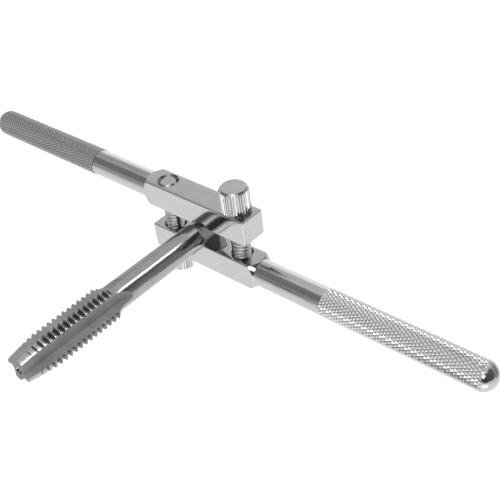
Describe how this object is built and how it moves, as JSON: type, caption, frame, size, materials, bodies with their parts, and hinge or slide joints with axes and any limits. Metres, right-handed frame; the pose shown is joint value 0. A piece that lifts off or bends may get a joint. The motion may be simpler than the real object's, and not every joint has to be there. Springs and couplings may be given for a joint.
{
  "type": "tap wrench",
  "caption": "Adjustable bar tap wrench with turned, knurled handles; thumb screws clamp its V jaws on the square of a four-flute hand tap.",
  "frame": {"origin": "on the tap's axis, halfway between the two bars and halfway across them, at the centre of the V jaws", "axes": "+X along the lower bar's handle; -Y along the tap towards its cutting end; +Z from the lower bar to the upper bar"},
  "size_m": [0.2174, 0.0853, 0.0448],
  "materials": {
    "plated_bar": "bright nickel-chrome plate over fine-ground steel; smooth necks mirror-like, grips diamond knurled",
    "plated_screw": "bright plated turned steel with a straight-knurled head and a satin top",
    "tool_steel": "ground tool steel; bright shank, four satin flutes, ground thread"
  },
  "bodies": {
    "upper_jaw": {"upper_jaw_bar": "plated_bar"},
    "lower_jaw": {"lower_jaw_bar": "plated_bar"},
    "upper_screw": {"upper_thumb_screw": "plated_screw"},
    "lower_screw": {"lower_thumb_screw": "plated_screw"},
    "held_tap": {"tap": "tool_steel"}
  },
  "joints": [
    {"name": "jaw_slide", "type": "slide", "parent": "upper_jaw", "child": "lower_jaw", "axis": [0, 0, -1], "range_m": [0, 0.005]},
    {"name": "upper_screw_turn", "type": "hinge", "parent": "upper_jaw", "child": "upper_screw", "pos_m": [0.0154, 0, 0], "axis": [0, 0, 1], "range_deg": [0, 1440]},
    {"name": "lower_screw_turn", "type": "hinge", "parent": "lower_jaw", "child": "lower_screw", "pos_m": [-0.0154, 0, 0], "axis": [0, 0, -1], "range_deg": [0, 1440]},
    {"name": "tap_pull", "type": "slide", "parent": "upper_jaw", "child": "held_tap", "axis": [0, -1, 0], "range_m": [0, 0.015]}
  ],
  "couplings": [
    {"joint": "upper_screw_turn", "follows": "jaw_slide", "rad_per_m": 4947.4},
    {"joint": "lower_screw_turn", "follows": "jaw_slide", "rad_per_m": 4947.4}
  ]
}
